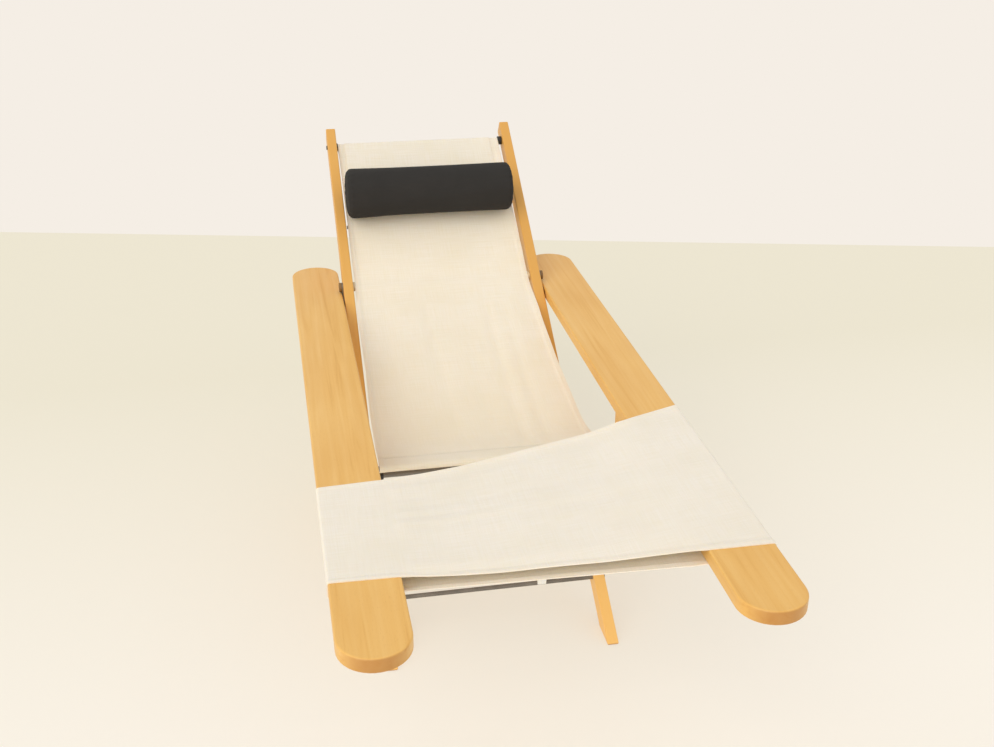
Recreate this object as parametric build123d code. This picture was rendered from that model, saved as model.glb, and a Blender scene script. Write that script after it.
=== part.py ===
from build123d import *
import math
import os

# Folding wooden deck chaise. Two sloping back posts and a crossed leg frame turn on two pivot
# bolts. Two long arms hinge on a steel rod through the posts and rest on the leg frame's
# crossbar. A canvas seat hangs between two rods, a canvas leg-rest band is looped round the
# arms, and a round bolster hangs over the head end from a flap with a weighted hem.
# X runs across the chair, Y from the foot end to the head end, Z up. "Left" is the -X side,
# as seen from the foot end. All sizes are in millimetres.

# Back posts
post_angle = 33.49
post_thickness = 25.0
post_depth = 42.0
post_length = 1544.9
post_spacing = 462.0
post_toe_radius = 3.0
post_end_radius = 3.0

# Stations up the posts' front faces, measured from the toe, and places counted back from them
front_stretcher_station = 171.5
front_stretcher_depth = 13.5
pivot_station = 469.5
rear_rod_station = 1022.0
top_rod_setback = 50.9

# Steel rods
rod_diameter = 12.0
stretcher_diameter = 10.0
running_clearance = 0.05
bore_clearance = 0.02

# Black spacers and caps
top_spacer_diameter = 23.0
top_left_spacer_length = 3.0
top_right_spacer_length = 11.5
rear_spacer_diameter = 24.0
rear_spacer_length = 5.5
spacer_gap = 0.5
rear_cap_diameter = 24.0
rear_cap_length = 6.5
cap_wall = 2.0
collar_diameter = 20.0
collar_length = 28.0
crossbar_cap_diameter = 22.0
crossbar_cap_length = 7.0

# Leg frame
leg_angle = 32.0
leg_thickness = 25.0
leg_depth = 42.0
leg_front_reach = 240.4
leg_stretcher_reach = 345.0

# Pivot bolts, washers and nuts
pivot_bolt_diameter = 8.0
bolt_head_diameter = 16.0
bolt_head_height = 4.2
washer_diameter = 22.0
washer_thickness = 1.5
nut_width = 13.0
nut_height = 6.5
bolt_end = 2.0
side_play = 0.15

# Arms
arm_width = 120.0
arm_thickness = 27.0
arm_front_reach = 1486.0
arm_rear_reach = 197.3
arm_drop = 13.3

# Hinge plates on the arms' inner edges
plate_thickness = 3.0
plate_length = 96.0
plate_margin = 3.5
plate_corner_radius = 5.0
eye_diameter = 24.0
plate_play = 0.4
cap_play = 0.4
hinge_screw_pitch = 34.0
hinge_screw_diameter = 4.5
hinge_screw_head = 8.5
hinge_screw_length = 30.0

# Arm blocks, which stand on the crossbar and carry the seat rod
block_thickness = 27.0
block_front_margin = 21.6
block_rear_margin = 15.8
block_corner_radius = 8.0
block_play = 2.0
block_seat_gap = 0.3
lip_gap = 1.0
lip_drop = 9.0
seat_rod_rise = 41.4
seat_rod_advance = 45.6
block_screw_diameter = 6.0
block_screw_head = 11.0
block_screw_head_height = 4.0
block_screw_counterbore = 40.0
block_screw_bite = 20.0
block_screw_setback = 12.0
block_screw_pitch = 24.0

# Cross screws that hold the butted rods
cross_screw_diameter = 6.0
cross_screw_head_diameter = 11.0
cross_screw_head_height = 3.0
cross_screw_grip = 22.0

# Canvas seat
canvas_thickness = 2.0
canvas_gap = 0.3
sling_middle_width = 460.0
sling_seat_width = 475.0
sling_front_width = 482.0
sling_sag = [(595.0, 88.3), (391.2, 32.3), (217.2, -8.7), (124.8, -16.7)]

# Leg-rest band
band_gap = 0.4
band_left_front = -415.0
band_left_rear = -104.0
band_right_front = -436.0
band_right_rear_inner = 50.0
band_right_rear_outer = 97.0
band_sag = 11.0
tab_width = 14.0
tab_drop = 15.0
tab_thickness = 0.8
tab_offset = -26.0

# Bolster, its flap and the weighted hem
bolster_hang = 226.0
bolster_diameter = 130.0
bolster_length = 440.0
bolster_end_radius = 16.0
bolster_end_crown = 10.0
bolster_crown = 2.5
bolster_flat = 2.0
bolster_offset = -7.0
flap_width = 404.0
flap_thickness = 1.5
flap_tuck = 12.0
flap_drop = 235.0
flap_seam_gap = 0.1
weight_diameter = 10.0
weight_overhang = 4.0

# Easing of the timber's edges
post_ease = 2.5
leg_ease = 2.0
arm_ease = 3.5
block_ease = 1.5

# Side-view places derived from the sizes above
slope = math.radians(post_angle)
leg_slope = math.radians(leg_angle)
rod_radius = rod_diameter / 2


def from_toe(along, lift):
    """Side-view point measured up the posts' front faces from the toe and off those faces."""
    y = along * math.cos(slope) - lift * math.sin(slope)
    z = along * math.sin(slope) + lift * math.cos(slope)
    return y, z


def shifted(point):
    """The same point with Y counted from the middle of the whole chair."""
    return point[0] + toe_y, point[1]


def centre_line(station):
    """Point on the posts' centre line at a station."""
    return shifted(from_toe(station, -post_depth / 2))


top_rod_station = post_length - top_rod_setback
bolster_station = top_rod_station - bolster_hang
post_corner_cut = post_end_radius * (math.cos(slope) + math.sin(slope) - 1)
post_rear_end = from_toe(post_length, -post_depth)[0] - post_corner_cut
arm_front_end = from_toe(rear_rod_station, -post_depth / 2)[0] - arm_front_reach
toe_y = -(post_rear_end + arm_front_end) / 2

stretcher_at = shifted(from_toe(front_stretcher_station, -front_stretcher_depth))
pivot_at = centre_line(pivot_station)
rear_rod_at = centre_line(rear_rod_station)
top_rod_at = centre_line(top_rod_station)

crossbar_at = (
    pivot_at[0] - leg_front_reach * math.cos(leg_slope),
    pivot_at[1] + leg_front_reach * math.sin(leg_slope),
)
leg_rear_reach = (pivot_at[1] - leg_depth / 2) / math.sin(leg_slope)
leg_foot_at = (pivot_at[0] + leg_rear_reach * math.cos(leg_slope), leg_depth / 2)
leg_stretcher_at = (
    pivot_at[0] + leg_stretcher_reach * math.cos(leg_slope),
    pivot_at[1] - leg_stretcher_reach * math.sin(leg_slope),
)
seat_rod_at = (crossbar_at[0] - seat_rod_advance, crossbar_at[1] + seat_rod_rise)
arm_top = rear_rod_at[1] - arm_drop
arm_underside = arm_top - arm_thickness
block_foot = crossbar_at[1] + rod_radius + block_seat_gap

# Places across the chair, for the +X side
post_inner = post_spacing / 2
post_outer = post_inner + post_thickness
sling_top_left = -(post_inner - top_left_spacer_length - spacer_gap)
sling_top_right = post_inner - top_right_spacer_length - spacer_gap
sling_rear_rod_width = 2 * (post_inner - rear_spacer_length - spacer_gap)
plate_inner = post_outer + plate_play
arm_inner = plate_inner + plate_thickness
arm_outer = arm_inner + arm_width
leg_inner = post_outer + washer_thickness + side_play
leg_outer = leg_inner + leg_thickness
block_inner = leg_outer + block_play
block_outer = block_inner + block_thickness
crossbar_end = block_outer + side_play + crossbar_cap_length
rear_cap_inner = arm_inner + cap_play


def side_shape(outline, inner, thickness):
    """A side-view outline given thickness across the chair, starting at the inner X."""
    return extrude(Plane.YZ.offset(inner) * outline, thickness)


def disc(at, diameter, inner, length):
    """Round bar along X."""
    return side_shape(Pos(at[0], at[1]) * Circle(diameter / 2), inner, length)


def tube(at, diameter, bore, inner, length):
    """Round bar along X with a bore along it."""
    ring = Pos(at[0], at[1]) * (Circle(diameter / 2) - Circle(bore / 2))
    return side_shape(ring, inner, length)


def bar_between(at, diameter, half_length):
    """Round bar along X, centred on the chair."""
    return disc(at, diameter, -half_length, 2 * half_length)


def eased(solid, radius):
    """The solid with the edges of its two side faces rounded."""
    sides = solid.faces().sort_by(Axis.X)
    return fillet((sides[0].edges() + sides[-1].edges()), radius)


def other_side(solid):
    """The mirrored piece for the -X side."""
    return mirror(solid, Plane.YZ)


def both_sides(solid):
    """The piece and its mirror image."""
    return [other_side(solid), solid]


def save(name, *solids):
    """Writes one node, as a group where it holds several solids."""
    shape = solids[0] if len(solids) == 1 else Compound(children=list(solids))
    export_step(shape, f"parts/{name}.step")


# Timber of the back frame


def post():
    """Sloping back post: flat foot, rounded toe, square top, bored for its rods and bolt."""
    foot_rear = (toe_y + post_depth / math.sin(slope), 0)
    corners = [
        (toe_y, 0),
        foot_rear,
        shifted(from_toe(post_length, -post_depth)),
        shifted(from_toe(post_length, 0)),
    ]
    outline = make_face(Polyline(*corners, close=True))
    top = outline.vertices().sort_by(Axis.Y)[2:]
    outline = fillet(top, post_end_radius)
    toe = outline.vertices().sort_by(Axis.X)[0]
    outline = fillet(toe, post_toe_radius)
    heel = outline.vertices().sort_by_distance((foot_rear[0], foot_rear[1], 0))[0]
    outline = fillet(heel, post_end_radius)
    body = eased(side_shape(outline, post_inner, post_thickness), post_ease)
    bores = [
        (stretcher_at, cross_screw_diameter),
        (pivot_at, pivot_bolt_diameter),
        (rear_rod_at, rod_diameter),
        (top_rod_at, cross_screw_diameter),
    ]
    for at, diameter in bores:
        body -= disc(at, diameter + 2 * bore_clearance, post_inner, post_thickness)
    return body


def cross_screw(at, head_face):
    """Pan-head screw that runs inward from a timber's outer face into a rod's tapped end."""
    head = disc(at, cross_screw_head_diameter, head_face, cross_screw_head_height)
    head = fillet(head.edges().sort_by(Axis.X)[-1], cross_screw_head_height / 3)
    shank_length = post_thickness + cross_screw_grip
    return head + disc(at, cross_screw_diameter, head_face - shank_length, shank_length)


def butted_rod(at, diameter, end):
    """Rod whose ends butt on the timbers' inner faces and are tapped for the cross screws."""
    bar = bar_between(at, diameter, end)
    thread = cross_screw_diameter + 2 * bore_clearance
    for hole in both_sides(disc(at, thread, end - cross_screw_grip, cross_screw_grip)):
        bar -= hole
    return bar


def rod_spacer(at, diameter, length):
    """Black ring round a rod's end, between the post's inner face and the cloth's edge."""
    bore = rod_diameter + 2 * bore_clearance
    ring = tube(at, diameter, bore, post_inner - length, length)
    return fillet(ring.edges().filter_by(GeomType.CIRCLE).group_by(SortBy.LENGTH)[-1], 1.0)


def end_cap(at, diameter, inner, length):
    """Black cap closed at its outer end, pushed over the end of a rod."""
    cap = disc(at, diameter, inner, length)
    cap = fillet(cap.edges().sort_by(Axis.X)[-1], cap_wall * 0.8)
    return cap - disc(at, rod_diameter + 2 * bore_clearance, inner, length - cap_wall)


# Pivots


def pivot_bolt():
    """Bolt through the leg, the washer and the post, with a low round head outside the leg."""
    head_face = leg_outer + side_play
    head = disc(pivot_at, bolt_head_diameter, head_face, bolt_head_height)
    head = fillet(head.edges().sort_by(Axis.X)[-1], bolt_head_height * 0.6)
    tip = post_inner - nut_height - bolt_end
    shank = disc(pivot_at, pivot_bolt_diameter, tip, head_face - tip)
    shank = chamfer(shank.edges().sort_by(Axis.X)[0], 0.8)
    return head + shank


def pivot_washer():
    """Flat washer between the post and the leg."""
    bore = pivot_bolt_diameter + 2 * running_clearance
    return tube(pivot_at, washer_diameter, bore, post_outer, washer_thickness)


def pivot_nut():
    """Hexagon nut on the post's inner face."""
    across_corners = nut_width / math.cos(math.radians(30))
    bore = Circle(pivot_bolt_diameter / 2 + bore_clearance)
    outline = RegularPolygon(across_corners / 2, 6) - bore
    nut = side_shape(Pos(*pivot_at) * outline, post_inner - nut_height, nut_height)
    envelope = disc(pivot_at, across_corners * 0.97, post_inner - nut_height, nut_height)
    envelope = chamfer(envelope.edges().sort_by(Axis.X)[0], 0.9)
    return nut & envelope


# Leg frame


def leg():
    """Leg with round ends, bored for the crossbar, the pivot bolt and its stretcher's screw."""
    middle_y = (crossbar_at[0] + leg_foot_at[0]) / 2
    middle_z = (crossbar_at[1] + leg_foot_at[1]) / 2
    span = leg_front_reach + leg_rear_reach
    outline = Pos(middle_y, middle_z) * Rot(0, 0, -leg_angle) * SlotCenterToCenter(span, leg_depth)
    body = eased(side_shape(outline, leg_inner, leg_thickness), leg_ease)
    bores = [
        (crossbar_at, rod_diameter + 2 * bore_clearance),
        (pivot_at, pivot_bolt_diameter + 2 * running_clearance),
        (leg_stretcher_at, cross_screw_diameter + 2 * bore_clearance),
    ]
    for at, diameter in bores:
        body -= disc(at, diameter, leg_inner, leg_thickness)
    return body


def crossbar_collar():
    """Black collar on the crossbar inside each leg. It meets the post when the chair is folded."""
    bore = rod_diameter + 2 * bore_clearance
    ring = tube(crossbar_at, collar_diameter, bore, leg_inner - collar_length, collar_length)
    return fillet(ring.edges().filter_by(GeomType.CIRCLE).group_by(SortBy.LENGTH)[-1], 1.5)


# Arms


def arm():
    """Long plank with half-round ends and eased edges."""
    front = rear_rod_at[0] - arm_front_reach
    rear = rear_rod_at[0] + arm_rear_reach
    plan = Rot(0, 0, 90) * SlotOverall(rear - front, arm_width)
    middle = Plane.XY.offset(arm_underside) * Pos((arm_inner + arm_outer) / 2, (front + rear) / 2)
    body = extrude(middle * plan, arm_thickness)
    faces = body.faces().sort_by(Axis.Z)
    body = fillet(faces[0].edges() + faces[-1].edges(), arm_ease)
    for place in hinge_screw_places():
        pilot = hinge_screw_diameter + 2 * bore_clearance
        body -= disc(place, pilot, arm_inner, hinge_screw_length - plate_thickness)
    for place in block_screw_places():
        upright = (Align.CENTER, Align.CENTER, Align.MIN)
        pilot = Cylinder(block_screw_diameter / 2 + bore_clearance, block_screw_bite, align=upright)
        body -= Pos(block_inner + block_thickness / 2, place, arm_underside) * pilot
    return body


def hinge_screw_places():
    """Side-view places of the screws through one hinge plate."""
    middle = arm_underside + arm_thickness / 2
    return [(rear_rod_at[0] + step * hinge_screw_pitch, middle) for step in (-1, 0, 1)]


def hinge_plate():
    """Steel plate on the arm's inner edge whose eye turns on the rear rod above the arm."""
    width = arm_thickness - 2 * plate_margin
    middle = (rear_rod_at[0], arm_underside + arm_thickness / 2)
    strap = Pos(*middle) * RectangleRounded(plate_length, width, plate_corner_radius)
    rise = rear_rod_at[1] - middle[1]
    neck = Pos(rear_rod_at[0], middle[1] + rise / 2) * Rectangle(eye_diameter, rise)
    eye = Pos(*rear_rod_at) * Circle(eye_diameter / 2)
    plate = side_shape(strap + neck + eye, plate_inner, plate_thickness)
    plate -= disc(rear_rod_at, rod_diameter + 2 * running_clearance, plate_inner, plate_thickness)
    for place in hinge_screw_places():
        plate -= countersunk_screw(place, bore_clearance)
    return plate


def countersunk_screw(place, extra=0.0):
    """Countersunk wood screw, flush with the plate's face next to the post."""
    head_radius = hinge_screw_head / 2 + extra
    shank_radius = hinge_screw_diameter / 2 + extra
    cone_length = head_radius - shank_radius
    profile = make_face(
        Polyline(
            (0, 0),
            (0, head_radius),
            (cone_length, shank_radius),
            (hinge_screw_length - 3, shank_radius),
            (hinge_screw_length, 0),
            close=True,
        )
    )
    turned = revolve(profile, Axis.X)
    return Pos(plate_inner, place[0], place[1]) * turned


def block_screw_places():
    """Y places of the two screws that hold an arm block."""
    rear = crossbar_at[0] + block_rear_margin - block_screw_setback
    return [rear - block_screw_pitch, rear]


def arm_block():
    """Block under the arm: stands on the crossbar, holds the seat rod, stops behind the bar."""
    front = seat_rod_at[0] - block_front_margin
    rear = crossbar_at[0] + block_rear_margin
    lip_front = crossbar_at[0] + rod_radius + lip_gap
    corners = [
        (front, arm_underside),
        (front, block_foot),
        (lip_front, block_foot),
        (lip_front, block_foot - lip_drop),
        (rear, block_foot - lip_drop),
        (rear, arm_underside),
    ]
    outline = make_face(Polyline(*corners, close=True))
    nose = outline.vertices().sort_by_distance((front, block_foot, 0))[0]
    outline = fillet(nose, block_corner_radius)
    body = eased(side_shape(outline, block_inner, block_thickness), block_ease)
    body -= disc(seat_rod_at, rod_diameter + 2 * bore_clearance, block_inner, block_thickness)
    for place in block_screw_places():
        body -= block_screw(place, bore_clearance, block_screw_counterbore)
    return body


def block_screw(place, extra=0.0, open_below=0.0):
    """Screw up through the block into the arm, or the stepped hole that takes it."""
    upright = (Align.CENTER, Align.CENTER, Align.MIN)
    seat = block_foot + block_screw_counterbore
    tip = arm_underside + block_screw_bite
    across = block_inner + block_thickness / 2
    head_length = block_screw_head_height + open_below
    head = Cylinder(block_screw_head / 2 + extra, head_length, align=upright)
    head = Pos(across, place, seat - head_length) * head
    shank = Cylinder(block_screw_diameter / 2 + extra, tip - seat, align=upright)
    return head + Pos(across, place, seat) * shank


# Canvas


def sleeve(at):
    """Side view of the canvas sewn round a rod."""
    inside = rod_radius + canvas_gap
    return Pos(*at) * (Circle(inside + canvas_thickness) - Circle(inside))


def off_post_line(at, lift):
    """Side-view point lifted off the posts' centre line, square to the slope."""
    return (at[0] - lift * math.sin(slope), at[1] + lift * math.cos(slope))


sheet_lift = rod_radius + canvas_gap + canvas_thickness / 2


def sling():
    """Canvas seat from the top rod, over the rear rod and sagging to the seat rod."""
    top = off_post_line(top_rod_at, sheet_lift)
    bend = off_post_line(rear_rod_at, sheet_lift)
    front = (seat_rod_at[0], seat_rod_at[1] + sheet_lift)
    back = trace(Line(top, bend), canvas_thickness)
    hollow = [(front[0] + reach, front[1] + rise) for reach, rise in sling_sag]
    seat_line = Spline(bend, *hollow, front, tangents=[(-math.cos(slope), -math.sin(slope)), (-1, 0)])
    seat = trace(seat_line, canvas_thickness)
    section = back + seat + sleeve(top_rod_at) + sleeve(seat_rod_at)
    widest = max(sling_front_width, sling_middle_width, sling_seat_width, -2 * sling_top_left)
    cloth = side_shape(section, -widest / 2, widest)
    edge = [
        (seat_rod_at[0] - 2 * rod_diameter, sling_front_width),
        (seat_rod_at[0], sling_front_width),
        (hollow[3][0], sling_seat_width),
        (hollow[2][0], sling_seat_width),
        (hollow[1][0], sling_middle_width),
        (hollow[0][0], sling_middle_width),
        (rear_rod_at[0], sling_rear_rod_width),
    ]
    right = [(width / 2, y) for y, width in edge]
    left = [(-x, y) for x, y in right]
    for y in (top_rod_at[0], top_rod_at[0] + 2 * rod_diameter):
        right.append((sling_top_right, y))
        left.append((sling_top_left, y))
    plan = make_face(Polyline(*right, *reversed(left), close=True))
    return cloth & extrude(plan, top_rod_at[1] * 2)


def from_feet(y):
    """Y counted from the middle of the chair, for a place given from the posts' toes."""
    return y + toe_y


def band():
    """Canvas loop round both arms, askew, its upper layer sagging a little between them."""
    inner_x = arm_outer + band_gap
    inner_top = arm_top + band_gap
    inner_bottom = arm_underside - band_gap
    thick = canvas_thickness
    corner = arm_ease + band_gap
    upper = [(arm_inner, inner_top), (0, inner_top - band_sag), (-arm_inner, inner_top)]
    hollow_line = [
        Line((inner_x - corner, inner_top), upper[0]),
        ThreePointArc(*upper),
        Line(upper[2], (-inner_x + corner, inner_top)),
        RadiusArc((-inner_x + corner, inner_top), (-inner_x, inner_top - corner), -corner),
        Line((-inner_x, inner_top - corner), (-inner_x, inner_bottom + corner)),
        RadiusArc((-inner_x, inner_bottom + corner), (-inner_x + corner, inner_bottom), -corner),
        Line((-inner_x + corner, inner_bottom), (inner_x - corner, inner_bottom)),
        RadiusArc((inner_x - corner, inner_bottom), (inner_x, inner_bottom + corner), -corner),
        Line((inner_x, inner_bottom + corner), (inner_x, inner_top - corner)),
        RadiusArc((inner_x, inner_top - corner), (inner_x - corner, inner_top), -corner),
    ]
    hollow = make_face(hollow_line)
    section = offset(hollow, thick, kind=Kind.ARC) - hollow
    rear = from_feet(band_right_rear_outer)
    front = from_feet(band_right_front)
    loop = extrude(Plane.XZ.offset(-rear) * section, rear - front)
    reach = inner_x + 2 * thick
    plan = make_face(
        Polyline(
            (-reach, from_feet(band_left_rear)),
            (-reach, from_feet(band_left_front)),
            (reach, from_feet(band_right_front)),
            (reach, from_feet(band_right_rear_outer)),
            (arm_inner, from_feet(band_right_rear_inner)),
            (-arm_inner, from_feet(band_left_rear)),
            close=True,
        )
    )
    return loop & extrude(plan, 2 * arm_top)


def band_tab():
    """Small blank cloth tab sewn under the band's front hem."""
    reach = arm_outer + band_gap
    share = (tab_offset + reach) / (2 * reach)
    front = from_feet(band_left_front) + share * (band_right_front - band_left_front)
    top = arm_underside - band_gap - canvas_thickness - 0.1
    box = Box(tab_width, tab_thickness, tab_drop, align=(Align.CENTER, Align.MIN, Align.MAX))
    return Pos(tab_offset, front + 1.5, top) * box


flap_lift = sheet_lift + canvas_thickness / 2 + canvas_gap + flap_thickness / 2
bolster_bed_lift = flap_lift + flap_thickness / 2 + flap_seam_gap
weight_at = (top_rod_at[0] + flap_lift, top_rod_at[1] - flap_drop)
hem_inside = weight_diameter / 2 + canvas_gap


def bolster_centre():
    """Side-view centre of the bolster, lying on its flap."""
    lift = bolster_bed_lift - bolster_flat + bolster_diameter / 2
    return off_post_line(centre_line(bolster_station), lift)


def bolster():
    """Round stuffed bolster: crowned side and ends, rolled rims, flat where it lies on the seat."""
    half = bolster_length / 2
    rim = half - bolster_end_crown
    shoulder = rim - bolster_end_radius
    side_radius = bolster_diameter / 2 - bolster_crown
    rim_radius = side_radius - bolster_end_radius
    roll_radius = rim_radius + bolster_end_radius * math.sqrt(0.5)
    end_sphere = (rim_radius**2 + bolster_end_crown**2) / (2 * bolster_end_crown)
    mid_radius = rim_radius / 2
    mid_end = half - end_sphere + math.sqrt(end_sphere**2 - mid_radius**2)
    roll_end = shoulder + bolster_end_radius * math.sqrt(0.5)
    profile = make_face(
        [
            ThreePointArc((-shoulder, side_radius), (0, bolster_diameter / 2), (shoulder, side_radius)),
            ThreePointArc((shoulder, side_radius), (roll_end, roll_radius), (rim, rim_radius)),
            ThreePointArc((rim, rim_radius), (mid_end, mid_radius), (half, 0)),
            Line((half, 0), (-half, 0)),
            ThreePointArc((-half, 0), (-mid_end, mid_radius), (-rim, rim_radius)),
            ThreePointArc((-rim, rim_radius), (-roll_end, roll_radius), (-shoulder, side_radius)),
        ]
    )
    body = revolve(profile, Axis.X)
    centre = bolster_centre()
    body = Pos(bolster_offset, centre[0], centre[1]) * body
    bed = off_post_line(centre_line(bolster_station), bolster_bed_lift)
    square_to_slope = (0, -math.sin(slope), math.cos(slope))
    bed_plane = Plane(origin=(0, *bed), x_dir=(1, 0, 0), z_dir=square_to_slope)
    return split(body, bisect_by=bed_plane, keep=Keep.TOP)


def bolster_flap():
    """Cloth flap from under the bolster, over the top rod and down to its weighted hem."""
    start = off_post_line(centre_line(bolster_station - flap_tuck), flap_lift)
    over = off_post_line(top_rod_at, flap_lift)
    half_turn = (math.pi / 2 + slope) / 2
    crest = (
        top_rod_at[0] + flap_lift * math.cos(half_turn),
        top_rod_at[1] + flap_lift * math.sin(half_turn),
    )
    behind = (top_rod_at[0] + flap_lift, top_rod_at[1])
    hem_top = (weight_at[0], weight_at[1] + hem_inside + flap_thickness / 2)
    path = [Line(start, over), ThreePointArc(over, crest, behind), Line(behind, hem_top)]
    ring = Pos(*weight_at) * (Circle(hem_inside + flap_thickness) - Circle(hem_inside))
    section = trace(path, flap_thickness) + ring
    flap = side_shape(section, -flap_width / 2, flap_width)
    return Pos(bolster_offset, 0, 0) * flap


def flap_weight():
    """Steel bar in the flap's hem."""
    bar = bar_between(weight_at, weight_diameter, flap_width / 2 + weight_overhang)
    return Pos(bolster_offset, 0, 0) * bar


def main():
    os.makedirs("parts", exist_ok=True)

    right_post = post()
    save("left_post", other_side(right_post))
    save("right_post", right_post)
    save("top_rod", butted_rod(top_rod_at, rod_diameter, post_inner))
    left_spacer = rod_spacer(top_rod_at, top_spacer_diameter, top_left_spacer_length)
    right_spacer = rod_spacer(top_rod_at, top_spacer_diameter, top_right_spacer_length)
    save("top_rod_spacers", right_spacer, other_side(left_spacer))
    save("top_rod_screws", *both_sides(cross_screw(top_rod_at, post_outer)))
    save("rear_rod", bar_between(rear_rod_at, rod_diameter, rear_cap_inner + rear_cap_length - cap_wall))
    rear_spacer = rod_spacer(rear_rod_at, rear_spacer_diameter, rear_spacer_length)
    save("rear_rod_spacers", *both_sides(rear_spacer))
    rear_cap = end_cap(rear_rod_at, rear_cap_diameter, rear_cap_inner, rear_cap_length)
    save("rear_rod_caps", *both_sides(rear_cap))
    save("front_stretcher", butted_rod(stretcher_at, stretcher_diameter, post_inner))
    save("stretcher_screws", *both_sides(cross_screw(stretcher_at, post_outer)))

    save("pivot_bolts", *both_sides(pivot_bolt()))
    save("pivot_washers", *both_sides(pivot_washer()))
    save("pivot_nuts", *both_sides(pivot_nut()))

    right_leg = leg()
    save("left_leg", other_side(right_leg))
    save("right_leg", right_leg)
    save("crossbar", bar_between(crossbar_at, rod_diameter, crossbar_end - cap_wall))
    save("crossbar_collars", *both_sides(crossbar_collar()))
    cap_inner = crossbar_end - crossbar_cap_length
    crossbar_cap = end_cap(crossbar_at, crossbar_cap_diameter, cap_inner, crossbar_cap_length)
    save("crossbar_caps", *both_sides(crossbar_cap))
    save("leg_stretcher", butted_rod(leg_stretcher_at, stretcher_diameter, leg_inner))
    save("leg_stretcher_screws", *both_sides(cross_screw(leg_stretcher_at, leg_outer)))

    right_arm = arm()
    save("left_arm", other_side(right_arm))
    save("right_arm", right_arm)
    right_plate = hinge_plate()
    save("left_hinge_plate", other_side(right_plate))
    save("right_hinge_plate", right_plate)
    screws = [countersunk_screw(place) for place in hinge_screw_places()]
    save("hinge_screws", *screws, *[other_side(screw) for screw in screws])
    right_block = arm_block()
    save("left_arm_block", other_side(right_block))
    save("right_arm_block", right_block)
    screws = [block_screw(place) for place in block_screw_places()]
    save("block_screws", *screws, *[other_side(screw) for screw in screws])
    save("seat_rod", bar_between(seat_rod_at, rod_diameter, block_outer))

    save("sling", sling())
    save("legrest_band", band())
    save("band_tab", band_tab())
    save("bolster", bolster())
    save("bolster_flap", bolster_flap())
    save("flap_weight", flap_weight())


main()
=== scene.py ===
import math
import random

import bmesh
import bpy
from bpy.props import FloatProperty, FloatVectorProperty, PointerProperty
from mathutils import Matrix, Vector


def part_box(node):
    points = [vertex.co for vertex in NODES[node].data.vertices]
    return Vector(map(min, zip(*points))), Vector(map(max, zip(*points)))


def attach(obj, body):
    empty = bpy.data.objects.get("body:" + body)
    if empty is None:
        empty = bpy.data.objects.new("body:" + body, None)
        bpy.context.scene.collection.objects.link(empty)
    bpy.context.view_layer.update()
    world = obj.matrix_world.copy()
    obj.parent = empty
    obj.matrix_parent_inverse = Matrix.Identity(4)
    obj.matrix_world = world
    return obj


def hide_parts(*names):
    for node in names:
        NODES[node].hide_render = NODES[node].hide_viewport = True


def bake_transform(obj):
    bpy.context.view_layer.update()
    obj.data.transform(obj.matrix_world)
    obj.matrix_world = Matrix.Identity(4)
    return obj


# Folding deck chaise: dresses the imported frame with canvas, a stuffed bolster and finished
# timber, and sets the stage. Everything is in metres, in the frame's own axes: +X is the right
# arm as seen from the foot end, +Y the head end, +Z up.

bl_info = {
    "name": "Folding deck chaise",
    "version": (1, 0, 0),
    "blender": (4, 5, 0),
    "location": "3D View > Sidebar > Chaise",
    "description": "Builds the canvas, bolster and finishes round a packed deck chaise frame",
    "category": "Object",
}

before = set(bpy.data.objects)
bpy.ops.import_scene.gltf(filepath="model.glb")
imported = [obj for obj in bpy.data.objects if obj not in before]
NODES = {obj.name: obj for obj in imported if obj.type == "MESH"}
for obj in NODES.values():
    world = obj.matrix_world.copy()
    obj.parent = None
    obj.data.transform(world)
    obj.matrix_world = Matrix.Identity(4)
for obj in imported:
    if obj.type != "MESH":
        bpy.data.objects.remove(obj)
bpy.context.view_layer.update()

MM = 0.001

# Slopes of the back posts and of the legs
SLOPE = math.radians(33.49)
LEG_SLOPE = math.radians(32.0)
UP_BACK = Vector((0, math.cos(SLOPE), math.sin(SLOPE)))
OFF_BACK = Vector((0, -math.sin(SLOPE), math.cos(SLOPE)))
# Where the posts' front faces would meet the floor if the toes weren't rounded
TOE_Y = -344.18 * MM


def centre(node_name):
    """Middle of a CAD node's box."""
    low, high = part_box(node_name)
    return (low + high) / 2


TOP_ROD = centre("top_rod")
REAR_ROD = centre("rear_rod")
SEAT_ROD = centre("seat_rod")
HEM_BAR = centre("flap_weight")
BOLSTER = centre("bolster")
ARM_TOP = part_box("right_arm")[1].z
ARM_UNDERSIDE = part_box("right_arm")[0].z
ARM_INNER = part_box("right_arm")[0].x
ARM_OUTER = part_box("right_arm")[1].x

# Canvas seat: from a rod's axis to the middle of the outer layer, from there to the layer inside
# it, how far below the top rod and behind the seat rod the casings are sewn, and the hem turned
# beyond the stitches
CANVAS_LIFT = 7.3 * MM
CANVAS_LAYER = 1.25 * MM
TOP_CASING = 42 * MM
SEAT_CASING = 32 * MM
CASING_TURN = 9 * MM
# The seat's hollow, in mm behind the seat rod and above its cloth
SEAT_HOLLOW = ((595.0, 88.3), (391.2, 32.3), (217.2, -8.7), (124.8, -16.7))

# Leg-rest band: places of its front and rear edges, as (x in m, mm behind the posts' toes)
BAND_FRONT = ((-0.379, -417.5), (-0.259, -420), (0.0, -428), (0.251, -436), (0.384, -437))
BAND_REAR = ((-0.379, -113), (-0.262, -105), (-0.1, -62), (0.1, 0), (0.247, 46), (0.378, 95))
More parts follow.
